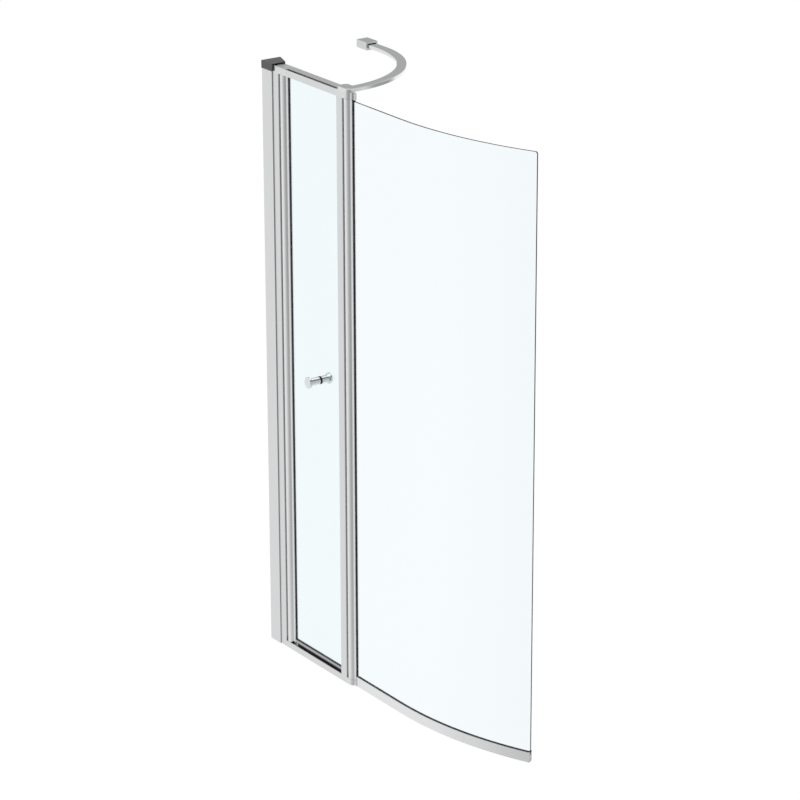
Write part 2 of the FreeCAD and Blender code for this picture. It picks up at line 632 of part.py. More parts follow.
# ---- hinge profiles, shared by the door and the bowed screen ------------------------
def hinge_profile(axis_x, foot_bottom):
    """Round tube with a glazing pocket on its +X side."""
    low, high = HINGE_BOTTOM, HINGE_TOP
    tube = post_z(axis_x, AXIS_Y, TUBE_R, low, high)
    lips = box(axis_x, AXIS_Y - LIP_HALF, low, axis_x + LIP_REACH, AXIS_Y + LIP_HALF, high)
    body = join(tube, lips)
    body = round_edges(body, LIP_EDGE_R, lambda p, e: upright(e) and near(p.x, axis_x + LIP_REACH))
    if foot_bottom < low:
        foot = box(FOOT_X, AXIS_Y - LIP_HALF, foot_bottom, axis_x + LIP_REACH,
                   AXIS_Y + LIP_HALF, low + PAST)
        foot = round_edges(foot, LIP_EDGE_R, lambda p, e: upright(e) and not near(p.x, FOOT_X))
        body = join(body, foot).cut(foot_notch())
    body = body.cut(box(axis_x + POCKET_FLOOR, AXIS_Y - POCKET_HALF, foot_bottom - PAST,
                        axis_x + LIP_REACH + PAST, AXIS_Y + POCKET_HALF, high + PAST))
    return body.cut(post_z(axis_x, AXIS_Y, PIVOT_BORE_R, low - PAST, high + PAST))


def pivot_plugs(axis_x):
    """Steel plugs pressed in the tube's ends, each with the pin that turns in a bush."""
    plugs = []
    for end, way in ((HINGE_BOTTOM, 1), (HINGE_TOP, -1)):
        low, high = sorted((end, end + way * PLUG_LENGTH))
        pin_low, pin_high = sorted((end, end - way * PIN_LENGTH))
        pin = post_z(axis_x, AXIS_Y, PIN_R, pin_low, pin_high)
        plug = rod(Vector(axis_x, AXIS_Y, low), UP, PIVOT_BORE_R - PIN_PLAY, PLUG_LENGTH,
                   HEAD_SIDES)
        plugs.append(join(plug, pin))
    return group(plugs)


def glazing_gasket(axis_x, low, bead_low, high):
    """U-shaped gasket that grips the glass in the pocket and shows as a dark line."""
    start, stop = axis_x + POCKET_FLOOR, axis_x + LIP_REACH
    inside = box(start, AXIS_Y - POCKET_HALF, low, stop, AXIS_Y + POCKET_HALF, high)
    bead = box(stop, AXIS_Y - POCKET_HALF, bead_low, stop + GASKET_PROUD,
               AXIS_Y + POCKET_HALF, high)
    body = join(inside, bead)
    return body.cut(box(start + GASKET_BASE, AXIS_Y - GLASS / 2, low,
                        stop + GASKET_PROUD + PAST, AXIS_Y + GLASS / 2, high + PAST))


# ---- access door -------------------------------------------------------------------
def door_glass():
    start = DOOR_AXIS_X + POCKET_FLOOR + GASKET_BASE
    body = box(start, AXIS_Y - GLASS / 2, DOOR_GLASS_BOTTOM, DOOR_EDGE, AXIS_Y + GLASS / 2,
               DOOR_GLASS_TOP)
    body = round_edges(body, DOOR_CORNER_R, lambda p, e: near(p.x, DOOR_EDGE) and near(p.y, AXIS_Y))
    return body.cut(post_y(KNOB_X, KNOB_Z, KNOB_HOLE_R, AXIS_Y - GLASS, AXIS_Y + GLASS))


def door_rail():
    start, stop = DOOR_AXIS_X + LIP_REACH, DOOR_EDGE
    body = box(start, AXIS_Y - LIP_HALF, DOOR_RAIL_BOTTOM, stop, AXIS_Y + LIP_HALF,
               DOOR_RAIL_TOP)
    return body.cut(box(start - PAST, AXIS_Y - POCKET_HALF, DOOR_RAIL_BOTTOM + DOOR_RAIL_FLOOR,
                        stop + PAST, AXIS_Y + POCKET_HALF, DOOR_RAIL_TOP + PAST))


def door_rail_gasket():
    start, stop = DOOR_AXIS_X + LIP_REACH, DOOR_EDGE
    floor = DOOR_RAIL_BOTTOM + DOOR_RAIL_FLOOR
    inside = box(start, AXIS_Y - POCKET_HALF, floor, stop, AXIS_Y + POCKET_HALF, DOOR_RAIL_TOP)
    bead = box(start + GASKET_PROUD, AXIS_Y - POCKET_HALF, DOOR_RAIL_TOP, stop,
               AXIS_Y + POCKET_HALF, DOOR_RAIL_TOP + GASKET_PROUD)
    return join(inside, bead).cut(box(start - PAST, AXIS_Y - GLASS / 2, floor + GASKET_BASE,
                                      stop + PAST, AXIS_Y + GLASS / 2, TOP))


def door_wiper():
    """Rubber seal under the door rail, with two blades that hang behind the upstand."""
    head_half, blade = LIP_HALF, WIPER_BLADE
    low = DOOR_RAIL_BOTTOM - WIPER_HEAD
    section = [(AXIS_Y - head_half, DOOR_RAIL_BOTTOM), (AXIS_Y + head_half, DOOR_RAIL_BOTTOM),
               (AXIS_Y + head_half, WIPER_BOTTOM), (AXIS_Y + head_half - blade, WIPER_BOTTOM),
               (AXIS_Y + head_half - blade, low), (AXIS_Y - head_half + blade, low),
               (AXIS_Y - head_half + blade, WIPER_BOTTOM), (AXIS_Y - head_half, WIPER_BOTTOM)]
    return bar_along_x(section, DOOR_AXIS_X + LIP_REACH + WIPER_SETBACK, DOOR_EDGE)


def door_foot_plug():
    """Moulded plug that closes the lower end of the door's glazing pocket."""
    front, back = AXIS_Y - POCKET_HALF, AXIS_Y + POCKET_HALF
    body = join(box(FOOT_X, front, FOOT_BOTTOM, FOOT_PLUG_FACE, back, DOOR_GLASS_BOTTOM),
                box(DOOR_AXIS_X + POCKET_FLOOR, front, HINGE_BOTTOM, FOOT_PLUG_FACE, back,
                    DOOR_GLASS_BOTTOM))
    seat = Vector(FOOT_PLUG_FACE, AXIS_Y, FOOT_PIN_Z)
    return body.cut(screw_hole(seat, INTO_PLUG, FOOT_PIN_LENGTH, FOOT_PIN_SHANK_R))


def door_foot_pin():
    seat = Vector(FOOT_PLUG_FACE, AXIS_Y, FOOT_PIN_Z)
    return screw(seat, INTO_PLUG, FOOT_PIN_LENGTH, FOOT_PIN_SHANK_R, FOOT_PIN_R, FOOT_PIN_HEAD)


def door_stop_seal():
    """Bulb seal on the post that the closed door rests against."""
    bulb_x = POST_START - STOP_SEAL_REACH + STOP_SEAL_R
    bulb_y = AXIS_Y - GLASS / 2 - STOP_SEAL_R - STOP_SEAL_PLAY
    low, high = DOOR_RAIL_TOP + GASKET_PROUD + STOP_SEAL_LIFT, RAIL_UNDERSIDE
    bulb = post_z(bulb_x, bulb_y, STOP_SEAL_R, low, high)
    root = box(bulb_x, bulb_y - STOP_SEAL_ROOT_HALF, low, POST_START,
               bulb_y + STOP_SEAL_ROOT_HALF, high)
    return join(bulb, root).cut(post_z(bulb_x, bulb_y, STOP_SEAL_BORE_R, low - PAST, high + PAST))


def knob(way, reach):
    """Turned knob on one side of the glass; way is -1 outside and +1 on the bath side."""
    seat = GLASS / 2 + KNOB_WASHER
    face = GLASS / 2 + reach
    profile = [(0, seat), (KNOB_STEM_R, seat), (KNOB_STEM_R, face - KNOB_DISC),
               (KNOB_R, face - KNOB_DISC), (KNOB_R, face - KNOB_BEVEL),
               (KNOB_R - KNOB_BEVEL, face), (0, face)]
    corners = [Vector(KNOB_X + r, AXIS_Y + way * t, KNOB_Z) for r, t in profile]
    half = Part.Face(Part.makePolygon(corners + corners[:1]))
    body = half.revolve(Vector(KNOB_X, AXIS_Y, KNOB_Z), Vector(0, 1, 0), 360)
    start = Vector(KNOB_X, AXIS_Y + way * seat, KNOB_Z)
    return body.cut(rod(start, Vector(0, way, 0), STUD_R + SCREW_PLAY, STUD_BITE, HEAD_SIDES))


def knob_washers():
    rings = []
    for way in (-1, 1):
        out = Vector(0, way, 0)
        start = Vector(KNOB_X, AXIS_Y + way * GLASS / 2, KNOB_Z)
        ring = rod(start, out, KNOB_STEM_R + KNOB_LIP, KNOB_WASHER, RING_SIDES)
        rings.append(ring.cut(rod(start - out * PAST, out, STUD_R + SCREW_PLAY, KNOB_WASHER + PAST * 2,
                                  HEAD_SIDES)))
    return group(rings)


def knob_stud():
    reach = GLASS / 2 + KNOB_WASHER + STUD_BITE
    return rod(Vector(KNOB_X, AXIS_Y - reach, KNOB_Z), Vector(0, 1, 0), STUD_R, 2 * reach,
               HEAD_SIDES)


# ---- bowed screen ------------------------------------------------------------------
def bow_point(along, offset, z=0.0):
    """Point on the bowed line, along it from the pivot axis and offset into the bath."""
    if along <= BOW_STRAIGHT:
        return Vector(BOW_AXIS_X + along, AXIS_Y + offset, z)
    turn = (along - BOW_STRAIGHT) / BOW_RADIUS
    r = BOW_RADIUS - offset
    return Vector(BOW_ARC_X + r * math.sin(turn), AXIS_Y + BOW_RADIUS - r * math.cos(turn), z)


def bow_edge(start, stop, offset, z):
    """Edges along the bowed line between two places on it."""
    edges = []
    if start < BOW_STRAIGHT:
        corner = min(stop, BOW_STRAIGHT)
        edges.append(Part.makeLine(bow_point(start, offset, z), bow_point(corner, offset, z)))
    if stop > BOW_STRAIGHT:
        first = max(start, BOW_STRAIGHT)
        arc = Part.Arc(bow_point(first, offset, z), bow_point((first + stop) / 2, offset, z),
                       bow_point(stop, offset, z))
        edges.append(arc.toShape())
    return edges


def bow_band(start, stop, near_side, far_side, z0, z1):
    """Upright band along the bowed line, between two offsets and two heights."""
    front = bow_edge(start, stop, near_side, z0)
    back = bow_edge(start, stop, far_side, z0)
    ends = [Part.makeLine(bow_point(place, near_side, z0), bow_point(place, far_side, z0))
            for place in (start, stop)]
    wire = Part.Wire(Part.__sortEdges__(front + back + ends))
    return Part.Face(wire).extrude(Vector(0, 0, z1 - z0))


def bow_glass():
    body = bow_band(POCKET_FLOOR + GASKET_BASE, BOW_LENGTH, -GLASS / 2, GLASS / 2,
                    BOW_GLASS_BOTTOM, BOW_GLASS_TOP)
    tip = bow_point(BOW_LENGTH, 0, BOW_GLASS_TOP)
    return round_edges(body, BOW_CORNER_R, lambda p, e: (p - tip).Length < GLASS / 4)


def bow_strip():
    """Curved bottom strip: a glazing pocket above and a groove for the drip seal below."""
    start, stop = STRIP_START + STRIP_HEEL, BOW_LENGTH - STRIP_CAP
    body = bow_band(start, stop, -LIP_HALF, LIP_HALF, STRIP_BOTTOM, STRIP_TOP)
    pocket = bow_band(start - PAST, stop + PAST, -POCKET_HALF, POCKET_HALF,
                      STRIP_TOP - STRIP_POCKET, STRIP_TOP + PAST)
    groove = bow_band(start - PAST, stop + PAST, -DRIP_WIDTH / 2, DRIP_WIDTH / 2,
                      STRIP_BOTTOM - PAST, STRIP_BOTTOM + DRIP_DEPTH)
    return body.cut(pocket).cut(groove)


def bow_strip_gasket():
    start, stop = STRIP_START, BOW_LENGTH - STRIP_CAP
    floor = STRIP_TOP - STRIP_POCKET
    body = join(bow_band(start + STRIP_HEEL, stop, -POCKET_HALF, POCKET_HALF, floor, STRIP_TOP),
                bow_band(start, stop, -POCKET_HALF, POCKET_HALF, STRIP_TOP,
                         STRIP_TOP + GASKET_PROUD))
    return body.cut(bow_band(start - PAST, stop + PAST, -GLASS / 2, GLASS / 2, floor + GASKET_BASE,
                             STRIP_TOP + GASKET_PROUD + PAST))


def bow_end_caps():
    """Plastic end caps of the strip: a heel beside the pivot and a plate at the free end."""
    heel = bow_band(STRIP_START, STRIP_START + STRIP_HEEL, -LIP_HALF, LIP_HALF, STRIP_BOTTOM,
                    STRIP_TOP)
    heel = heel.cut(bow_band(STRIP_START - PAST, STRIP_START + STRIP_HEEL + PAST, -GLASS_ROOM,
                             GLASS_ROOM, BOW_GLASS_BOTTOM - FIT, STRIP_TOP + PAST))
    plate = bow_band(BOW_LENGTH - STRIP_CAP, BOW_LENGTH, -LIP_HALF, LIP_HALF, STRIP_BOTTOM,
                     STRIP_TOP + GASKET_PROUD)
    plate = plate.cut(bow_band(BOW_LENGTH - STRIP_CAP - PAST, BOW_LENGTH + PAST, -GLASS_ROOM,
                               GLASS_ROOM, BOW_GLASS_BOTTOM - FIT,
                               STRIP_TOP + GASKET_PROUD + PAST))
    return group([heel, plate])


def bow_drip_seal():
    """Clear seal in the strip's groove, with two thin blades down to the bath's rim."""
    start, stop = STRIP_START + STRIP_HEEL, BOW_LENGTH - STRIP_CAP
    half = DRIP_WIDTH / 2
    body = bow_band(start, stop, -half, half, 0, STRIP_BOTTOM + DRIP_DEPTH)
    return body.cut(bow_band(start - PAST, stop + PAST, DRIP_BLADE - half, half - DRIP_BLADE, -PAST,
                             STRIP_BOTTOM))


# ---- support bar and its wall bracket ----------------------------------------------
def bar_outline(offset):
    """Edges of one long side of the bar, from the wall end to the post."""
    r = BAR_RADIUS + offset
    wall_end = Vector(BRACKET_BACK, BAR_ARC_Y + r, TOP)
    arc_start = Vector(BAR_ARC_X, BAR_ARC_Y + r, TOP)
    half = math.sqrt(0.5) * r
    arc_mid = Vector(BAR_ARC_X + half, BAR_ARC_Y + half, TOP)
    arc_end = Vector(BAR_ARC_X + r, BAR_ARC_Y, TOP)
    post_end = Vector(BAR_ARC_X + r, AXIS_Y, TOP)
    return [Part.makeLine(wall_end, arc_start), Part.Arc(arc_start, arc_mid, arc_end).toShape(),
            Part.makeLine(arc_end, post_end)]


def support_bar():
    """Flat bar bent to a quarter circle, its end spread into a plate on the post block."""
    half = BAR_WIDTH / 2
    outer, inner = bar_outline(half), bar_outline(-half)
    ends = [Part.makeLine(outer[0].Vertexes[0].Point, inner[0].Vertexes[0].Point),
            Part.makeLine(outer[-1].Vertexes[-1].Point, inner[-1].Vertexes[-1].Point)]
    wire = Part.Wire(Part.__sortEdges__(outer + inner + ends))
    up = Vector(0, 0, BAR_THICKNESS)
    flat = Part.Face(wire).extrude(up)
    nose = post_z(BOW_AXIS_X, half, half, TOP, BAR_TOP)
    plate = box(POST_BLOCK_START + PLATE_INSET, 0, TOP, BOW_AXIS_X, FRAME_DEPTH, BAR_TOP)
    plate = round_edges(plate, PLATE_CORNER_R,
                        lambda p, e: upright(e) and p.x < POST_BLOCK_START + PLATE_INSET + PAST)
    body = join(flat, nose, plate)
    rim = [e for e in body.Edges if all(near(v.Point.z, BAR_TOP) for v in e.Vertexes)]
    body = body.makeChamfer(BAR_BEVEL, rim)
    for x, y in bar_screw_places():
        body = body.cut(screw_hole(Vector(x, y, TOP), UP, BAR_SCREW_BITE, BAR_SCREW_R))
    return body


def bar_post_screws():
    length = BAR_SCREW_SINK + BAR_SCREW_BITE - SCREW_TIP
    return group([screw(Vector(x, y, TOP - BAR_SCREW_SINK), UP, length, BAR_SCREW_R,
                        BAR_SCREW_HEAD_R, BAR_SCREW_HEAD) for x, y in bar_screw_places()])


def bar_wall_bracket():
    """Die-cast socket on the wall: the bar slides in from the open end."""
    y0, y1 = BAR_WALL_Y - BRACKET_WIDTH / 2, BAR_WALL_Y + BRACKET_WIDTH / 2
    body = box(0, y0, BRACKET_BOTTOM, BRACKET_LENGTH, y1, BRACKET_TOP)
    body = round_edges(body, BRACKET_EDGE_R, lambda p, e: near(p.x, BRACKET_LENGTH / 2))
    half = BAR_WIDTH / 2 + FIT
    body = body.cut(box(BRACKET_BACK, BAR_WALL_Y - half, TOP, BRACKET_LENGTH + PAST,
                        BAR_WALL_Y + half, BAR_TOP + PAD_THICKNESS))
    for side in (-0.5, 0.5):
        body = body.cut(post_x(BAR_WALL_Y + side * BRACKET_HOLE_PITCH, (TOP + BAR_TOP) / 2,
                               BRACKET_HOLE_R, -PAST, BRACKET_BACK + PAST))
    start = Vector(BRACKET_LENGTH / 2, BAR_WALL_Y, BRACKET_BOTTOM)
    return body.cut(screw_hole(start, UP, BRACKET_FLOOR + PAST, GRUB_R))


def bracket_pad():
    """Rubber pad over the bar; the grub screw clamps the bar against it."""
    half = BAR_WIDTH / 2
    return box(BRACKET_BACK, BAR_WALL_Y - half, BAR_TOP, BRACKET_LENGTH - PAD_SETBACK,
               BAR_WALL_Y + half, BAR_TOP + PAD_THICKNESS)


def bracket_grub_screw():
    start = Vector(BRACKET_LENGTH / 2, BAR_WALL_Y, BRACKET_BOTTOM + SCREW_SUNK)
    body = rod(start, UP, GRUB_R, BRACKET_FLOOR - SCREW_SUNK)
    return body.cut(rod(start, UP, GRUB_R / 2, GRUB_R, HEX_SIDES))


# ---- every piece, written as its own file ------------------------------------------
os.makedirs("parts", exist_ok=True)

PIECES = {
    "wall_channel": wall_channel,
    "channel_top_cap": channel_top_cap,
    "jamb_screws": jamb_screws,
    "screw_covers": screw_covers,
    "jamb_profile": jamb_profile,
    "centre_post": centre_post,
    "top_rail": top_rail,
    "bottom_rail": bottom_rail,
    "base_screws": base_screws,
    "top_wall_block": top_wall_block,
    "bottom_wall_block": bottom_wall_block,
    "top_post_block": top_post_block,
    "bottom_post_block": bottom_post_block,
    "corner_screws": corner_screws,
    "pivot_bushes": pivot_bushes,
    "door_stop_seal": door_stop_seal,
    "support_bar": support_bar,
    "bar_post_screws": bar_post_screws,
    "bar_wall_bracket": bar_wall_bracket,
    "bracket_pad": bracket_pad,
    "bracket_grub_screw": bracket_grub_screw,
    "door_hinge_profile": lambda: hinge_profile(DOOR_AXIS_X, FOOT_BOTTOM),
    "door_pivot_plugs": lambda: pivot_plugs(DOOR_AXIS_X),
    "door_glazing_gasket": lambda: glazing_gasket(DOOR_AXIS_X, DOOR_RAIL_TOP,
                                                  DOOR_RAIL_TOP, HINGE_TOP),
    "door_glass": door_glass,
    "door_rail": door_rail,
    "door_rail_gasket": door_rail_gasket,
    "door_wiper": door_wiper,
    "door_foot_plug": door_foot_plug,
    "door_foot_pin": door_foot_pin,
    "knob_front": lambda: knob(-1, KNOB_FRONT_REACH),
    "knob_back": lambda: knob(1, KNOB_BACK_REACH),
    "knob_washers": knob_washers,
    "knob_stud": knob_stud,
    "bow_hinge_profile": lambda: hinge_profile(BOW_AXIS_X, HINGE_BOTTOM),
    "bow_pivot_plugs": lambda: pivot_plugs(BOW_AXIS_X),
    "bow_glazing_gasket": lambda: glazing_gasket(BOW_AXIS_X, HINGE_BOTTOM,
                                                 STRIP_TOP + GASKET_PROUD, HINGE_TOP),
    "bow_glass": bow_glass,
    "bow_strip": bow_strip,
    "bow_strip_gasket": bow_strip_gasket,
    "bow_end_caps": bow_end_caps,
    "bow_drip_seal": bow_drip_seal,
}

for piece_name, make in PIECES.items():
    save(piece_name, make())
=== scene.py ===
import bmesh
import bpy
import math
from mathutils import Matrix, Vector


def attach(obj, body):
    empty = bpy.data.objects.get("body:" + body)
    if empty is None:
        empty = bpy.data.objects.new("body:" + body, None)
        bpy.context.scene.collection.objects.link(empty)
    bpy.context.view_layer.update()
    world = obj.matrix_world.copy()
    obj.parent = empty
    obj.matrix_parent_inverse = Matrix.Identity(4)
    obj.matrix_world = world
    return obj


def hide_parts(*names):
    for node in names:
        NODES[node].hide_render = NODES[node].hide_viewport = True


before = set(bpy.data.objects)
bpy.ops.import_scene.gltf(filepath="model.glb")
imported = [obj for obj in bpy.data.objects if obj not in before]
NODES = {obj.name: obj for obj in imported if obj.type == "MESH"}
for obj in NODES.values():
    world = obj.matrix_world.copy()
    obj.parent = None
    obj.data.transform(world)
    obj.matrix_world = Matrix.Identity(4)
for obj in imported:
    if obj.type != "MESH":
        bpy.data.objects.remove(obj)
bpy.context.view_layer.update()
MM = 0.001

# ---- places and sizes ------------------------------------------------------------------
AXIS_Y = 12 * MM              # both hinge axes, behind the frame's front
DOOR_AXIS_X = 73 * MM
BOW_AXIS_X = 325.2 * MM
SEAT_R = 15.1 * MM            # a little outside the hollow seat's own radius
NOTCH_X = 79 * MM             # point of the notch under the door's round
NOTCH_Z = 15.4 * MM           # its middle
NOTCH_RUN = 6.2 * MM          # a little over its length
NOTCH_SLOPE = 0.7             # half its height over its length
NOTCH_SKIN = 0.15 * MM        # margin that takes in the notch's own faces
NOTCH_BACK = 6.8 * MM         # just behind its back wall
FRAME_BACK = 29 * MM
NEAR = 0.05 * MM              # how close a place is to a face to be on it

SCREW_HEAD_R = 3.5 * MM
SCREW_HEAD = 2.2 * MM
SCREW_HEAD_SOFT = 1.1 * MM
SCREW_R = 1.95 * MM
SCREW_LENGTH = 8 * MM
SCREW_POINT = 2 * MM
SCREW_TAPER = 0.3             # the point's end over the shank
RECESS_REACH = 4.2 * MM
RECESS_WIDTH = 0.9 * MM
RECESS_DEPTH = 1.2 * MM
RECESS_TAPER = 0.6            # the recess's floor over its mouth
SCREW_PLACES = [(52.9, 30.0), (52.9, 1370.0), (305.1, 30.0), (305.1, 1370.0),
                (103.5, 1392.5), (277.5, 1392.5)]

COVER_R = 7 * MM
COVER = 1 * MM
COVER_SOFT = 0.4 * MM
COVER_RIM = 1.2 * MM
COVER_SLOPE = 2.5 * MM        # from the rim to the crown
COVER_RISE = 0.35 * MM
COVER_STEM_R = 5.4 * MM
COVER_STEM = 3 * MM
PRY_R = 1.2 * MM              # notch in the cover's rim
PRY_HEIGHT = 2.4 * MM
PRY_OUT = 0.3 * MM
PRY_Z = 0.9 * MM
COVER_X = 21.5 * MM
COVER_Y = 38.8 * MM
COVER_HEIGHTS = (0.3, 0.7, 1.1)
SKIN_NORMAL = (0.3177, 0.9482, 0.0)   # of the channel's slanted back

GASKET_END = (3.4 * MM, 7.8 * MM, 3.4 * MM)
GASKET_END_SOFT = 0.7 * MM
BOW_TIP = (885.4 * MM, 96.7 * MM, 26.2 * MM)
BOW_TURN = 25.95              # degrees

# ---- colours ---------------------------------------------------------------------------
SATIN = (0.77, 0.775, 0.78)
SEAT_PAINTED_SHADE = 0.72             # painted shade: the hollow seat's colour over its profile's, where less light gets in
# painted shade: near-black colour on the faces of the notch under the door's round
NOTCH_PAINTED_SHADE = (0.008, 0.008, 0.008)
GLASS_EDGE = (0.025, 0.04, 0.04)
GLASS_FACE = (0.8, 0.6)       # how squarely a face looks across the pane: face, then edge
DRAWN = {"Z": (900.0, 900.0, 4.0), "X": (4.0, 900.0, 900.0)}
SLOW_CLOUDS = (9.0, 9.0, 2.2)
GLASS_CLOUDS = (3.0, 3.0, 1.2)

# ---- studio ----------------------------------------------------------------------------
WHITE = 1.0                   # what the eye sees past the object
FLOOR_WHITE = 1.035
FLOOR_SHARE = 0.9             # the rest of the floor takes the object's shadow
FLOOR_CLOTH = (0.86,) * 3
FLOOR_SIZE = 40
FLOOR_Z = -0.55
MIDDLE = (0.4, 0.05, 0.7)     # of the object
SIDE_TONE = 0.92              # level of the studio all round the object
BRIGHT_TONE = 1.08            # the lit side
BRIGHT_SIDE = 125.0           # degrees round from +X
BRIGHT_EDGE = (0.5, 0.95)     # soft edge, as cosines of the angle from that side
DARK_TONE = 0.36              # the unlit side, where the onlooker stands
DARK_SIDE = -30.0
DARK_EDGE = (-0.1, 1.15)
GREY_TONE = 0.40              # a darker screen beside the lit side
GREY_SIDE = 70.0
GREY_EDGE = (0.88, 0.985)
BACK_TONE = 0.46              # low wall behind the object, above the horizon
BACK_SIDE = 145.0
BACK_EDGE = (0.4, 0.85)
BACK_HEIGHT = (0.0, 0.22)
CEILING_TONE = 1.10           # soft light overhead
CEILING_HEIGHT = (0.6, 0.85)
LINE_TONE = 0.01              # narrow dark gap between the wall and the soft light
LINE_HEIGHT = 0.68
LINE_WIDTH = (0.24, 0.13)     # clear of it, then wholly in it
LINE_SIDE = 40.0
LINE_EDGE = (0.45, 0.7)
KEY_PLACE = (-1.2, -2.5, 4.0)
KEY_TARGET = (0.4, 0.0, 0.7)
KEY_SIZE = 2.5
KEY_POWER = 45
CAMERA_PLACE = (6.266155, -3.993841, 3.315355)
CAMERA_YAW = 0.9624704
CAMERA_PITCH = 0.3510523
CAMERA_ROLL = -0.0025926
SENSOR = 36.0
FOCAL_PIXELS = 3429.631
PICTURE_PIXELS = 800.0
FAR = 100.0


# ---- node helpers ----------------------------------------------------------------------
def material(name):
    m = bpy.data.materials.new(name)
    m.use_nodes = True
    nt = m.node_tree
    for n in list(nt.nodes):
        nt.nodes.remove(n)
    return m, nt, nt.nodes.new("ShaderNodeOutputMaterial")


def feed(nt, socket, value):
    """Links a socket to another node's output, or sets it."""
    if isinstance(value, bpy.types.NodeSocket):
        nt.links.new(value, socket)
    elif isinstance(value, tuple) and len(value) == 3 and socket.type == "RGBA":
        socket.default_value = (*value, 1)
    else:
        socket.default_value = value


def node(nt, kind, inputs, **props):
    """A node with its properties and its inputs, given by name or number."""
    n = nt.nodes.new(kind)
    for key, value in props.items():
        setattr(n, key, value)
    for key, value in inputs.items():
        feed(nt, n.inputs[key], value)
    return n


def sums(nt, operation, a, b=0.0):
    return node(nt, "ShaderNodeMath", {0: a, 1: b}, operation=operation).outputs[0]


def vectors(nt, operation, a, b=(0.0, 0.0, 0.0), output="Vector"):
    return node(nt, "ShaderNodeVectorMath", {0: a, 1: b}, operation=operation).outputs[output]


def along(nt, place, direction):
    return vectors(nt, "DOT_PRODUCT", place, direction, "Value")


def ramp(nt, value, low, high):
    """Smooth step from 0 to 1 as the value goes from low to high."""
    return node(nt, "ShaderNodeMapRange", {"Value": value, "From Min": low, "From Max": high},
                interpolation_type="SMOOTHSTEP").outputs[0]


def blend(nt, mask, under, over):
    return node(nt, "ShaderNodeMix", {0: mask, 2: under, 3: over}).outputs[0]


def tint(nt, mask, under, over):
    return node(nt, "ShaderNodeMix", {0: mask, 6: under, 7: over}, data_type="RGBA").outputs[2]


def place_on(nt, output="Object"):
    return node(nt, "ShaderNodeTexCoord", {}).outputs[output]


def scaled(colour, share):
    return tuple(c * share for c in colour)


def even(value):
    return (value,) * 3


# ---- node groups -----------------------------------------------------------------------
def new_group(name, inputs, outputs):
    g = bpy.data.node_groups.new(name, "ShaderNodeTree")
    for way, sockets in (("INPUT", inputs), ("OUTPUT", outputs)):
        for label, kind in sockets:
            g.interface.new_socket(label, in_out=way, socket_type="NodeSocket" + kind)
    return g, g.nodes.new("NodeGroupInput").outputs, g.nodes.new("NodeGroupOutput").inputs


def finish_group():
    """Slow clouds of colour, and a fine grain that can be drawn out along one way."""
    g, given, out = new_group("metal_and_plastic_finish",
                              [("Place", "Vector"), ("Grain", "Vector"), ("Clouds", "Vector"),
                               ("Dark", "Color"), ("Light", "Color"),
                               ("Smooth", "Float"), ("Rough", "Float")],
                              [("Color", "Color"), ("Roughness", "Float"), ("Height", "Float")])

    def pattern(stretch):
        place = vectors(g, "MULTIPLY", given["Place"], stretch)
        return node(g, "ShaderNodeTexNoise", {"Vector": place, "Scale": 1.0, "Detail": 2.0,
                                              "Roughness": 0.55}).outputs["Fac"]

    grain = pattern(given["Grain"])
    feed(g, out["Color"], tint(g, pattern(given["Clouds"]), given["Dark"], given["Light"]))
    feed(g, out["Roughness"], blend(g, grain, given["Smooth"], given["Rough"]))
    feed(g, out["Height"], grain)
    return g


def seat_group():
    """Mask for the painted shade in the hollow seat round a hinge axis, where less light gets
    in.
    """
    g, given, out = new_group("hinge_seat_painted_shade",
                              [("Place", "Vector"), ("Axis", "Vector"), ("Radius", "Float")],
                              [("Mask", "Float")])
    flat = vectors(g, "MULTIPLY", given["Place"], (1.0, 1.0, 0.0))
    reach = vectors(g, "DISTANCE", flat, given["Axis"], "Value")
    feed(g, out["Mask"], sums(g, "LESS_THAN", reach, given["Radius"]))
    return g


def notch_group():
    """Mask for the painted shade on the pointed notch under the door's round, which stands in
    deep shade.
    """
    g, given, out = new_group("hinge_notch_painted_shade", [("Place", "Vector")], [("Mask", "Float")])
    place = node(g, "ShaderNodeSeparateXYZ", {0: given["Place"]}).outputs
    run = sums(g, "SUBTRACT", place["X"], NOTCH_X)
    rise = sums(g, "ABSOLUTE", sums(g, "SUBTRACT", place["Z"], NOTCH_Z))
    reach = sums(g, "ADD", sums(g, "MULTIPLY", run, NOTCH_SLOPE), NOTCH_SKIN)
    inside = sums(g, "MULTIPLY", sums(g, "LESS_THAN", rise, reach),
                  sums(g, "LESS_THAN", run, NOTCH_RUN))
    inside = sums(g, "MULTIPLY", inside, sums(g, "LESS_THAN", place["Y"], NOTCH_BACK))
    feed(g, out["Mask"], inside)
    return g


FINISH = finish_group()
SEAT = seat_group()
NOTCH = notch_group()


# ---- materials -------------------------------------------------------------------------
def finished(name, light, rough, metallic, grain, clouds, bump, shift=0.05, dark=0.93):
    """Material whose colour, gloss and relief come from the finish group."""
    m, nt, out = material(name)
    look = node(nt, "ShaderNodeGroup",
                {"Place": place_on(nt), "Grain": grain, "Clouds": clouds,
                 "Dark": scaled(light, dark), "Light": light,
                 "Smooth": rough - shift, "Rough": rough + shift}, node_tree=FINISH)
    relief = node(nt, "ShaderNodeBump", {"Height": look.outputs["Height"], "Strength": bump,
                                         "Distance": 0.1 * MM}).outputs[0]
    b = node(nt, "ShaderNodeBsdfPrincipled",
             {"Base Color": look.outputs["Color"], "Metallic": metallic,
              "Roughness": look.outputs["Roughness"], "Normal": relief})
    nt.links.new(b.outputs[0], out.inputs["Surface"])
    return m, nt, b, look


def with_painted_shade(made, group, given, shade):
    """Paints shade into a material's colour where a group's mask says so."""
    m, nt, b, look = made
    mask = node(nt, "ShaderNodeGroup", {"Place": place_on(nt), **given}, node_tree=group)
    feed(nt, b.inputs["Base Color"],
         tint(nt, mask.outputs["Mask"], look.outputs["Color"], shade))
    return made


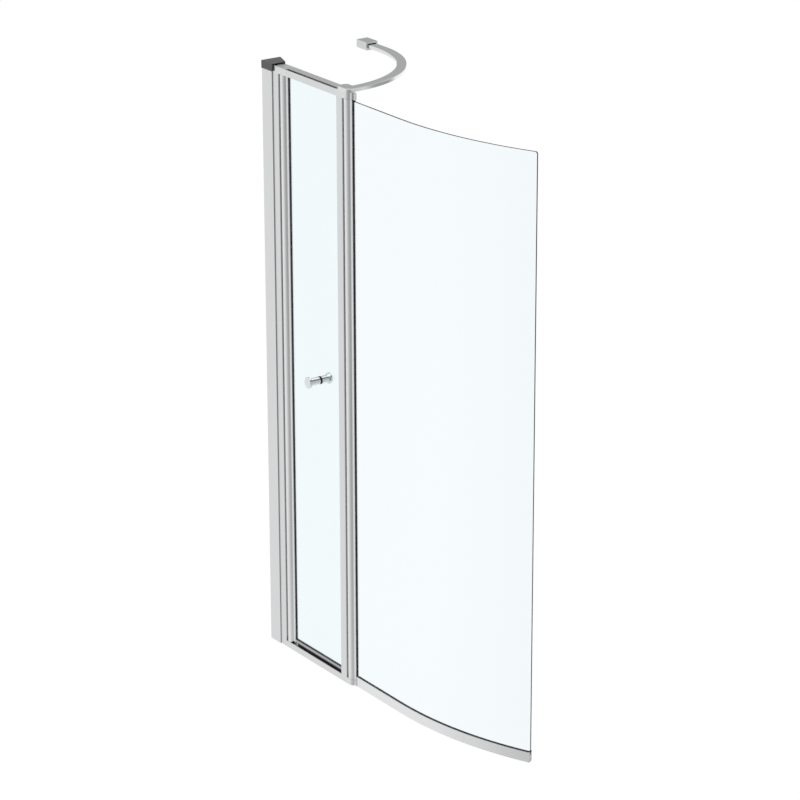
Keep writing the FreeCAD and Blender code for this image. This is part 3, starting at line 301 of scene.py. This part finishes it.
def extruded(name, way, light, rough=0.3):
    """Satin anodised extrusion, with faint lines drawn along its length."""
    return finished(name, light, rough, metallic=1.0, grain=DRAWN[way], clouds=SLOW_CLOUDS,
                    bump=0.05)


def seated(name, axis_x, light):
    """The same, with shade painted into the hollow seat round a hinge axis."""
    return with_painted_shade(extruded(name, "Z", light), SEAT,
                  {"Axis": (axis_x, AXIS_Y, 0.0), "Radius": SEAT_R}, scaled(light, SEAT_PAINTED_SHADE))


# Paints shade, nearly black, onto the notch under the door's round.
def notched(made):
    return with_painted_shade(made, NOTCH, {}, NOTCH_PAINTED_SHADE)


def cast_metal(name, light, rough):
    return finished(name, light, rough, metallic=1.0, grain=even(900.0), clouds=even(40.0),
                    bump=0.08)


def chrome(name, light):
    return finished(name, light, 0.08, metallic=1.0, grain=even(60.0), clouds=even(30.0),
                    bump=0.0, shift=0.02, dark=0.97)


def steel(name, light):
    return finished(name, light, 0.3, metallic=1.0, grain=even(400.0), clouds=even(400.0),
                    bump=0.05, shift=0.08, dark=0.82)


def rubber(name, colour, rough=0.6):
    return finished(name, scaled(colour, 1.3), rough, metallic=0.0, grain=even(1500.0),
                    clouds=(12.0, 12.0, 3.0), bump=0.12, shift=0.1, dark=0.77)


def moulded(name, colour):
    return finished(name, colour, 0.45, metallic=0.0, grain=even(2200.0), clouds=even(30.0),
                    bump=0.15, shift=0.07, dark=0.9)


def clear_seal(name, light):
    made = finished(name, light, 0.36, metallic=0.0, grain=even(300.0), clouds=even(50.0),
                    bump=0.03, dark=0.88)
    made[2].inputs["Alpha"].default_value = 0.75
    return made


def glass(name, face):
    """Float glass: nearly colourless through its faces, grey-green at its cut edges."""
    m, nt, b, look = finished(name, face, 0.008, metallic=0.0, grain=GLASS_CLOUDS,
                              clouds=GLASS_CLOUDS, bump=0.0, shift=0.007, dark=0.995)
    feed(nt, b.inputs["Transmission Weight"], 1.0)
    feed(nt, b.inputs["IOR"], 1.5)
    across = sums(nt, "ABSOLUTE", along(nt, place_on(nt, "Normal"), (0.0, 1.0, 0.0)))
    edge = ramp(nt, across, *GLASS_FACE)
    feed(nt, b.inputs["Base Color"], tint(nt, edge, look.outputs["Color"], GLASS_EDGE))
    return m, nt, b, look


LOOKS = {
    "channel": extruded("satin_channel", "Z", SATIN),
    "jamb": seated("satin_jamb", DOOR_AXIS_X, SATIN),
    "post": seated("satin_post", BOW_AXIS_X, SATIN),
    # painted light: the hinge rounds are written lighter than the other satin aluminium,
    # against the shade of their seats; their notch carries painted shade
    "tube": notched(extruded("satin_hinge_round_painted_light", "Z", (0.86, 0.865, 0.87))),
    "rail": extruded("satin_rail", "X", SATIN),
    # painted shade: the door's bottom rail is written darker than the other satin aluminium
    "door_rail": extruded("satin_door_rail_painted_shade", "X", (0.50, 0.505, 0.51)),
    "strip": extruded("satin_strip", "X", (0.90, 0.905, 0.91), 0.4),
    # the castings carry the notch's painted shade too
    "cast": notched(cast_metal("silver_casting", (0.80, 0.805, 0.81), 0.32)),
    "bracket": cast_metal("plated_casting", (0.70, 0.71, 0.72), 0.2),
    "chrome": chrome("polished_chrome", (0.80, 0.81, 0.82)),
    "post_gasket": rubber("black_post_gasket", (0.050, 0.050, 0.052)),
    "door_gasket": rubber("grey_door_gasket", (0.085, 0.087, 0.09)),
    "strip_gasket": rubber("dark_strip_gasket", (0.055, 0.056, 0.058)),
    "black": rubber("black_rubber", (0.025, 0.025, 0.027)),
    "wiper": rubber("black_wiper", (0.012, 0.012, 0.013), 0.5),
    "cap": moulded("dark_plastic", (0.075, 0.075, 0.08)),
    "light": moulded("light_plastic", (0.72, 0.73, 0.74)),
    # painted light: the foot plug is written nearly white so it shows bright in deep shade
    "pale": moulded("painted_light_plastic", (0.93, 0.935, 0.94)),
    "grey": moulded("grey_plastic", (0.30, 0.31, 0.32)),
    "seal": clear_seal("clear_seal", (0.84, 0.88, 0.89)),
    "door_glass": glass("clear_door_glass", (0.885, 0.96, 0.98)),
    "bow_glass": glass("clear_bowed_glass", (0.925, 0.97, 0.99)),
    "steel": steel("zinc_steel", (0.68, 0.69, 0.70)),
    # painted light: the foot pin is written nearly white so it shows bright in deep shade
    "bright": steel("painted_light_steel", (0.95, 0.95, 0.95)),
}
LOOKS = {look: made[0] for look, made in LOOKS.items()}
WEARS = {
    "channel": ["wall_channel"],
    "jamb": ["jamb_profile"],
    "post": ["centre_post"],
    "tube": ["door_hinge_profile", "bow_hinge_profile"],
    "rail": ["top_rail", "bottom_rail"],
    "door_rail": ["door_rail"],
    "strip": ["bow_strip"],
    "cast": ["top_wall_block", "bottom_wall_block", "top_post_block", "bottom_post_block"],
    "bracket": ["bar_wall_bracket"],
    "chrome": ["support_bar", "knob_front", "knob_back"],
    "post_gasket": ["bow_glazing_gasket"],
    "door_gasket": ["door_glazing_gasket", "door_rail_gasket"],
    "strip_gasket": ["bow_strip_gasket"],
    "black": ["knob_washers", "bracket_pad", "door_stop_seal"],
    "wiper": ["door_wiper"],
    "cap": ["channel_top_cap"],
    "light": ["bow_end_caps"],
    "pale": ["door_foot_plug"],
    "grey": ["screw_covers", "pivot_bushes"],
    "seal": ["bow_drip_seal"],
    "door_glass": ["door_glass"],
    "bow_glass": ["bow_glass"],
    "steel": ["jamb_screws", "base_screws", "corner_screws", "bar_post_screws",
              "bracket_grub_screw", "door_pivot_plugs", "bow_pivot_plugs", "knob_stud"],
    "bright": ["door_foot_pin"],
}
for look, names in WEARS.items():
    for piece in names:
        for slot in NODES[piece].material_slots:
            slot.material = LOOKS[look]


# ---- modelling helpers -----------------------------------------------------------------
def pick(test):
    """In edit mode, selects the faces whose centre and normal pass a test."""
    bpy.ops.mesh.select_mode(type="FACE")
    bpy.ops.mesh.select_all(action="DESELECT")
    bm = bmesh.from_edit_mesh(bpy.context.edit_object.data)
    for face in bm.faces:
        if test(face.calc_center_median(), face.normal):
            face.select_set(True)
    bm.select_flush(True)
    bmesh.update_edit_mesh(bpy.context.edit_object.data)


def pick_rim(test):
    """In edit mode, selects the edges whose ends both pass a test."""
    bpy.ops.mesh.select_mode(type="EDGE")
    bpy.ops.mesh.select_all(action="DESELECT")
    bm = bmesh.from_edit_mesh(bpy.context.edit_object.data)
    for edge in bm.edges:
        edge.select_set(all(test(v.co) for v in edge.verts))
    bmesh.update_edit_mesh(bpy.context.edit_object.data)


def looks_up(centre, normal):
    return normal.z > 0.9


def looks_down(centre, normal):
    return normal.z < -0.9


def apply_boolean(o, tool, operation):
    """Joins a tool to a piece or takes it out of it, and deletes the tool."""
    boolean = o.modifiers.new("boolean", "BOOLEAN")
    boolean.operation = operation
    boolean.object = tool
    bpy.ops.object.select_all(action="DESELECT")
    bpy.context.view_layer.objects.active = o
    o.select_set(True)
    bpy.ops.object.modifier_apply(modifier=boolean.name)
    bpy.data.objects.remove(tool)


def round_blank(name, radius, height, sides):
    """A round blank that stands on the origin, left in edit mode."""
    bpy.ops.object.select_all(action="DESELECT")
    bpy.ops.mesh.primitive_cylinder_add(vertices=sides, radius=radius, depth=height)
    bpy.context.object.name = name
    bpy.ops.object.mode_set(mode="EDIT")
    bpy.ops.mesh.select_all(action="SELECT")
    bpy.ops.transform.translate(value=(0, 0, height / 2))
    return bpy.context.object


def square_blank(name, size):
    """A square blank round the origin, left in edit mode."""
    bpy.ops.object.select_all(action="DESELECT")
    bpy.ops.mesh.primitive_cube_add(size=1)
    bpy.context.object.name = name
    bpy.ops.object.mode_set(mode="EDIT")
    bpy.ops.transform.resize(value=size)
    return bpy.context.object


def stem(radius, length, head_radius):
    """Pulls a stem out of the blank's underside."""
    pick(looks_down)
    bpy.ops.mesh.inset(thickness=head_radius - radius)
    bpy.ops.mesh.extrude_region_move(TRANSFORM_OT_translate={"value": (0, 0, -length)})


def set_out(model, places, turn, name, body, replaced, look):
    """Copies a model to its places, as one piece whose mesh holds them all."""
    copies = []
    for place in places:
        o = model.copy()
        o.data = model.data.copy()
        bpy.context.collection.objects.link(o)
        o.data.transform(Matrix.Translation(place) @ turn)
        copies.append(o)
    bpy.data.objects.remove(model)
    bpy.ops.object.select_all(action="DESELECT")
    for o in copies:
        o.select_set(True)
    bpy.context.view_layer.objects.active = copies[0]
    bpy.ops.object.join()
    whole = bpy.context.object
    whole.name = name
    whole.data.materials.clear()
    whole.data.materials.append(LOOKS[look])
    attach(whole, body)
    if replaced:
        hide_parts(replaced)


def facing(normal):
    """Turn that takes up to a level normal."""
    return Vector((0, 0, 1)).rotation_difference(Vector(normal)).to_matrix().to_4x4()


# ---- small pieces, modelled one by one -------------------------------------------------
def recess_bar(width, depth):
    """One tapered bar of the driver's recess, across the screw's top."""
    bar = square_blank("recess_bar", (width, depth, 2 * RECESS_DEPTH))
    bpy.ops.transform.translate(value=(0, 0, SCREW_HEAD))
    pick(looks_down)
    bpy.ops.transform.resize(value=(RECESS_TAPER, RECESS_TAPER, 1),
                             center_override=(0, 0, SCREW_HEAD - RECESS_DEPTH))
    bpy.ops.object.mode_set(mode="OBJECT")
    return bar


def corner_screw():
    """Pan head with a soft rim and a cross recess, on a shank with a point."""
    o = round_blank("corner_screw", SCREW_HEAD_R, SCREW_HEAD, 32)
    stem(SCREW_R, SCREW_LENGTH, SCREW_HEAD_R)
    bpy.ops.mesh.extrude_region_move(TRANSFORM_OT_translate={"value": (0, 0, -SCREW_POINT)})
    bpy.ops.transform.resize(value=(SCREW_TAPER, SCREW_TAPER, 1),
                             center_override=(0, 0, -SCREW_LENGTH - SCREW_POINT))
    pick_rim(lambda place: place.z > SCREW_HEAD - NEAR)
    bpy.ops.mesh.bevel(offset=SCREW_HEAD_SOFT, segments=5, profile=0.5)
    bpy.ops.object.mode_set(mode="OBJECT")
    cross = recess_bar(RECESS_REACH, RECESS_WIDTH)
    apply_boolean(cross, recess_bar(RECESS_WIDTH, RECESS_REACH), "UNION")
    apply_boolean(o, cross, "DIFFERENCE")
    bpy.ops.object.shade_smooth_by_angle(angle=math.radians(35))
    return o


def screw_cover():
    """Snap-in cover: a low dome with a pry notch in its rim, on a stem."""
    o = round_blank("screw_cover", COVER_R, COVER, 48)
    stem(COVER_STEM_R, COVER_STEM, COVER_R)
    pick(looks_up)
    bpy.ops.mesh.inset(thickness=COVER_RIM)
    bpy.ops.mesh.inset(thickness=COVER_SLOPE)
    bpy.ops.transform.translate(value=(0, 0, COVER_RISE))
    pick_rim(lambda place: abs(place.z - COVER) < NEAR
             and math.hypot(place.x, place.y) > COVER_R - NEAR)
    bpy.ops.mesh.bevel(offset=COVER_SOFT, segments=3)
    bpy.ops.object.mode_set(mode="OBJECT")
    notch = round_blank("pry_notch", PRY_R, PRY_HEIGHT, 24)
    bpy.ops.transform.translate(value=(0, -COVER_R - PRY_OUT, PRY_Z - PRY_HEIGHT / 2))
    bpy.ops.object.mode_set(mode="OBJECT")
    apply_boolean(o, notch, "DIFFERENCE")
    bpy.ops.object.shade_smooth_by_angle(angle=math.radians(30))
    return o


def gasket_end():
    """Moulded end of the strip's gasket, wrapped round the glass's lower corner."""
    o = square_blank("gasket_end", GASKET_END)
    bpy.ops.mesh.bevel(offset=GASKET_END_SOFT, segments=3)
    bpy.ops.object.mode_set(mode="OBJECT")
    bpy.ops.object.shade_smooth_by_angle(angle=math.radians(35))
    return o


set_out(corner_screw(), [Vector((x * MM, FRAME_BACK, z * MM)) for x, z in SCREW_PLACES],
        facing((0, 1, 0)), "corner_screw_set", "frame", "corner_screws", "steel")
set_out(screw_cover(), [Vector((COVER_X, COVER_Y, z)) for z in COVER_HEIGHTS],
        facing(SKIN_NORMAL), "screw_cover_set", "frame", "screw_covers", "grey")
set_out(gasket_end(), [Vector(BOW_TIP)], Matrix.Rotation(math.radians(BOW_TURN), 4, "Z"),
        "strip_gasket_end", "bow_screen", None, "black")


# ---- floor, light and camera -----------------------------------------------------------
def toward(degrees):
    return math.cos(math.radians(degrees)), math.sin(math.radians(degrees)), 0.0


def studio_group():
    """How bright the studio is in a direction from the object."""
    g, given, out = new_group("studio_tone", [("Direction", "Vector")], [("Color", "Color")])
    unit = vectors(g, "NORMALIZE", given[0])
    height = along(g, unit, (0.0, 0.0, 1.0))

    def side(degrees, edge):
        return ramp(g, along(g, unit, toward(degrees)), *edge)

    tone = blend(g, side(BRIGHT_SIDE, BRIGHT_EDGE), SIDE_TONE, BRIGHT_TONE)
    tone = blend(g, side(DARK_SIDE, DARK_EDGE), tone, DARK_TONE)
    tone = blend(g, side(GREY_SIDE, GREY_EDGE), tone, GREY_TONE)
    low_wall = sums(g, "MULTIPLY", ramp(g, height, *BACK_HEIGHT), side(BACK_SIDE, BACK_EDGE))
    tone = blend(g, low_wall, tone, BACK_TONE)
    tone = blend(g, ramp(g, height, *CEILING_HEIGHT), tone, CEILING_TONE)
    off = sums(g, "ABSOLUTE", sums(g, "SUBTRACT", height, LINE_HEIGHT))
    gap = sums(g, "MULTIPLY", ramp(g, off, *LINE_WIDTH), side(LINE_SIDE, LINE_EDGE))
    feed(g, out[0], blend(g, gap, tone, LINE_TONE))
    return g


def studio_colour(nt, group, place, white):
    """White for the eye, directly or through glass, and the studio's tone for mirrors."""
    tone = node(nt, "ShaderNodeGroup", {0: place}, node_tree=group).outputs[0]
    path = node(nt, "ShaderNodeLightPath", {}).outputs
    through = path["Is Transmission Ray"]
    mirrored = sums(nt, "MULTIPLY", path["Is Glossy Ray"], sums(nt, "SUBTRACT", 1.0, through))
    mirrored = sums(nt, "MAXIMUM", mirrored,
                    sums(nt, "GREATER_THAN", path["Glossy Depth"], 0.5))
    seen = sums(nt, "MAXIMUM", path["Is Camera Ray"], through)
    eye = sums(nt, "MULTIPLY", seen, sums(nt, "SUBTRACT", 1.0, mirrored))
    return tint(nt, eye, tone, even(white)), eye, mirrored


def floor(group):
    """Pale floor below the object; it keeps a soft shadow."""
    bpy.ops.object.select_all(action="DESELECT")
    bpy.ops.mesh.primitive_plane_add(size=FLOOR_SIZE)
    o = bpy.context.object
    o.name = "floor"
    bpy.ops.object.mode_set(mode="EDIT")
    bpy.ops.transform.translate(value=(0, 0, FLOOR_Z))
    bpy.ops.object.mode_set(mode="OBJECT")
    m, nt, out = material("floor_white")
    cloth = node(nt, "ShaderNodeBsdfPrincipled", {"Base Color": FLOOR_CLOTH, "Roughness": 0.9})
    way = vectors(nt, "SUBTRACT", place_on(nt), MIDDLE)
    colour, eye, mirrored = studio_colour(nt, group, way, FLOOR_WHITE)
    shine = node(nt, "ShaderNodeEmission", {"Color": colour})
    share = sums(nt, "MAXIMUM", sums(nt, "MULTIPLY", eye, FLOOR_SHARE), mirrored)
    mix = node(nt, "ShaderNodeMixShader", {0: share, 1: cloth.outputs[0], 2: shine.outputs[0]})
    nt.links.new(mix.outputs[0], out.inputs["Surface"])
    o.data.materials.append(m)


def backdrop(group):
    """White world for the eye, and the studio's soft tones for light and reflections."""
    w = bpy.data.worlds.new("studio")
    bpy.context.scene.world = w
    w.use_nodes = True
    nt = w.node_tree
    colour = studio_colour(nt, group, place_on(nt, "Generated"), WHITE)[0]
    feed(nt, nt.nodes["Background"].inputs["Color"], colour)


def key_light():
    """Broad soft lamp from the front left, kept out of the mirrors."""
    d = bpy.data.lights.new("key", "AREA")
    d.energy = KEY_POWER
    d.size = KEY_SIZE
    o = bpy.data.objects.new("key", d)
    o.location = KEY_PLACE
    way = Vector(KEY_TARGET) - Vector(KEY_PLACE)
    o.rotation_euler = way.to_track_quat("-Z", "Y").to_euler()
    o.visible_glossy = False
    bpy.context.collection.objects.link(o)


def camera():
    """Camera at the photograph's place and angle."""
    ahead = Vector((-math.sin(CAMERA_YAW) * math.cos(CAMERA_PITCH),
                    math.cos(CAMERA_YAW) * math.cos(CAMERA_PITCH), -math.sin(CAMERA_PITCH)))
    level = Vector((math.cos(CAMERA_YAW), math.sin(CAMERA_YAW), 0))
    upright = level.cross(ahead)
    right = math.cos(CAMERA_ROLL) * level + math.sin(CAMERA_ROLL) * upright
    up = -math.sin(CAMERA_ROLL) * level + math.cos(CAMERA_ROLL) * upright
    d = bpy.data.cameras.new("camera")
    d.sensor_width = SENSOR
    d.lens = FOCAL_PIXELS * SENSOR / PICTURE_PIXELS
    d.clip_end = FAR
    o = bpy.data.objects.new("camera", d)
    turn = Matrix((right, up, -ahead)).transposed().to_4x4()
    o.matrix_world = Matrix.Translation(Vector(CAMERA_PLACE)) @ turn
    bpy.context.collection.objects.link(o)
    bpy.context.scene.camera = o


TONES = studio_group()
floor(TONES)
backdrop(TONES)
key_light()
camera()

view = bpy.context.scene.view_settings
view.view_transform = "Standard"
